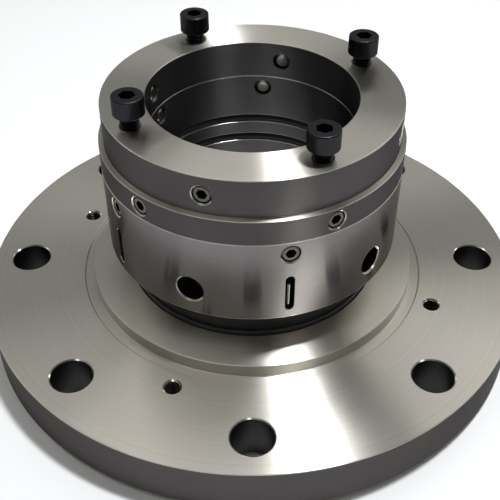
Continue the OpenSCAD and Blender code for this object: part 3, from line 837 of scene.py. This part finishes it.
sleeve_screw_angles = [SLEEVE_SCREW_ANGLE + k * 360 / SLEEVE_SCREWS for k in range(SLEEVE_SCREWS)]
grip_holes = [placed(hole(SCREW_R + SCREW_GAP, SHAFT_R - OVER, head_r, SCREW_MOUTH),
                     *outwards(sleeve_screw_z, angle)) for angle in sleeve_screw_angles]
cut(sleeve, joined(grip_holes), TAPPED_WALL_PAINTED_HIGHLIGHT)
smoothed(sleeve, outside_from=SLEEVE_R + WALL_MARGIN)
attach(sleeve, "rotor")
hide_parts("drive_sleeve")

# Sleeve screws
# Five set screws like those of the housing, but long enough to go through the head and grip the
# shaft. They are drawn backed off a little, because no shaft is there.
TIP_GAP = 0.5

shaft_screws = set_screws("sleeve_screws", SHAFT_R + TIP_GAP, head_r - SET_SINK, sleeve_screw_z,
                          sleeve_screw_angles)
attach(shaft_screws, "rotor")
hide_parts("sleeve_set_screws")

# Shaft O-rings
# Two rings of moulded rubber, pushed into the grooves of the sleeve's bore. The shaft squeezes
# them to an oval.
O_RING_SIDES = 24

for name, (low, high) in zip(("upper", "lower"), ring_boxes):
    o_ring = bmesh.new()
    bmesh.ops.create_circle(o_ring, cap_ends=False, segments=O_RING_SIDES, radius=1,
                            matrix=turn(90, "X"))
    placed(o_ring, Matrix.Diagonal((GROOVE_DEPTH / 2, 1, (high.z - low.z) / 2 / MM, 1)),
           shift(SHAFT_R + GROOVE_DEPTH / 2, 0, (low.z + high.z) / 2 / MM))
    bmesh.ops.spin(o_ring, geom=o_ring.verts[:] + o_ring.edges[:], cent=(0, 0, 0), axis=(0, 0, 1),
                   dvec=(0, 0, 0), angle=2 * math.pi, steps=TURN_STEPS // 2, use_merge=True)
    bmesh.ops.remove_doubles(o_ring, verts=o_ring.verts[:], dist=SAME_POINT)
    bmesh.ops.recalc_face_normals(o_ring, faces=o_ring.faces[:])
    ring = smoothed(piece(f"{name}_rubber_ring", o_ring, [RUBBER]))
    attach(ring, "rotor")
    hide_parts(f"{name}_shaft_o_ring")

# Setting collar
# Ring turned from bar that four set screws clamp to the shaft. Four threaded holes go down
# through it for the jack screws.
COLLAR_SCREWS = 4
COLLAR_SCREW_ANGLE = 72.5
JACKS = 4
JACK_CIRCLE_R = 55
JACK_ANGLE = 28.5

collar_r, _, collar_top = reach("setting_collar")
collar = piece("clamping_collar", turned([
    (SHAFT_R, drive_top), (collar_r, drive_top), (collar_r, collar_top), (SHAFT_R, collar_top)],
    RIM_BREAK), [FACE_STEEL, HONED_WALL_PAINTED_SHADE, TAPPED_WALL_PAINTED_HIGHLIGHT, DARK_WALL_PAINTED_SHADE])
collar_screw_z = (drive_top + collar_top) / 2
collar_screw_angles = [COLLAR_SCREW_ANGLE + k * 360 / COLLAR_SCREWS for k in range(COLLAR_SCREWS)]
jack_angles = [JACK_ANGLE + k * 360 / JACKS for k in range(JACKS)]
collar_holes = [placed(hole(SCREW_R + SCREW_GAP, SHAFT_R - OVER, collar_r, SCREW_MOUTH),
                       *outwards(collar_screw_z, angle)) for angle in collar_screw_angles]
jack_holes = [placed(hole(SCREW_R + SCREW_GAP, drive_top - OVER, collar_top, SCREW_MOUTH),
                     shift(JACK_CIRCLE_R, 0, 0), turn(angle)) for angle in jack_angles]
cut(collar, joined(collar_holes + jack_holes), TAPPED_WALL_PAINTED_HIGHLIGHT)
smoothed(collar, outside_from=SLEEVE_R + WALL_MARGIN)
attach(collar, "collar")
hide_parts("setting_collar")

# Collar screws
# Four set screws like the sleeve's, screwed in through the wall of the collar. They clamp it to
# the shaft.
clamping = set_screws("collar_screws", SHAFT_R + TIP_GAP, collar_r - SET_SINK, collar_screw_z,
                      collar_screw_angles)
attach(clamping, "collar")
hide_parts("collar_set_screws")

# Jack screws
# Four socket head cap screws of alloy steel, black from the oxide bath, with knurled heads. Their
# points stand on the sleeve's head, and one of them is still backed off a little.
CAP_R = 6.5
CAP_H = 8
CAP_BREAK = 0.6
CAP_FOOT_BREAK = 0.2
CAP_SOCKET_W = 6
CAP_SOCKET_DEPTH = 4
KNURLS = 48
KNURL_DEPTH = 0.28
KNURL_MARGIN = 0.9
JACK_GAP = 4.7
JACK_LIFT = 1
LIFTED_JACK = 2
SHANK_CHAMFER = 0.8
SHANK_SUNK = 0.5

# Black oxide is near black, with the soft gloss of the oiled steel under it.
BLACK_OXIDE = plain_finish("black_oxide_steel", "#343437", roughness=0.38, metallic=1.0,
                           grain=0.7, change=0.1, bump=0.01)

jack_length = collar_top - drive_top + JACK_GAP
cap_top = jack_length + CAP_H
low_row, high_row = jack_length + KNURL_MARGIN, cap_top - KNURL_MARGIN
cap = turned([
    (0, jack_length), (CAP_R, jack_length, CAP_FOOT_BREAK), (CAP_R, low_row, 0),
    (CAP_R, high_row, 0), (CAP_R, cap_top), (0, cap_top)], CAP_BREAK, 2 * KNURLS)
for v in cap.verts:
    on_wall = min(abs(v.co.z - low_row), abs(v.co.z - high_row)) < TOUCH
    step = round(math.atan2(v.co.y, v.co.x) / math.pi * KNURLS)
    if on_wall and step % 2:
        v.co.xy *= 1 - KNURL_DEPTH / CAP_R
jack_model = piece("jack_model", cap, [BLACK_OXIDE])
cut(jack_model, hexagon(CAP_SOCKET_W, cap_top - CAP_SOCKET_DEPTH, cap_top), BLACK_OXIDE)
shank = piece("shank", turned([
    (0, 0), (SCREW_R - SHANK_CHAMFER, 0), (SCREW_R, SHANK_CHAMFER),
    (SCREW_R, jack_length + SHANK_SUNK), (0, jack_length + SHANK_SUNK)], 0, HOLE_STEPS),
    [BLACK_OXIDE])
cut(shank, thread(SCREW_R - THREAD_SHAVE, THREAD_PITCH, -OVER, jack_length + OVER), BLACK_OXIDE,
    "INTERSECT")
jack_forms = []
for k, angle in enumerate(jack_angles):
    jack = bmesh.new()
    jack.from_mesh(jack_model.data)
    jack.from_mesh(shank.data)
    bmesh.ops.scale(jack, vec=(1 / MM, 1 / MM, 1 / MM), verts=jack.verts[:])
    lift = JACK_LIFT if k == LIFTED_JACK else 0
    jack_forms.append(placed(jack, shift(JACK_CIRCLE_R, 0, drive_top + lift), turn(angle)))
bpy.data.objects.remove(jack_model)
bpy.data.objects.remove(shank)
jacks = smoothed(piece("jack_cap_screws", joined(jack_forms), [BLACK_OXIDE]))
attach(jacks, "rotor")
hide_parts("jack_screws")

# Floor
# A pale sheet of paper that the seal stands on. It isn't part of the seal, and only takes its
# shadow.
FLOOR_R = 3000
FLOOR_STEPS = 96

floor_form = bmesh.new()
bmesh.ops.create_circle(floor_form, cap_ends=True, segments=FLOOR_STEPS, radius=FLOOR_R)

# Matt paper, a little off white, that keeps a soft shadow.
paper = bpy.data.materials.new("pale_paper")
paper.use_nodes = True
paper.node_tree.nodes.clear()
sheet = add_node(paper.node_tree, "ShaderNodeBsdfPrincipled",
                 {"Base Color": colour("#f4f4f4"), "Roughness": 0.8})
add_node(paper.node_tree, "ShaderNodeOutputMaterial", links={"Surface": sheet.outputs[0]})
floor = piece("floor", floor_form, [paper])
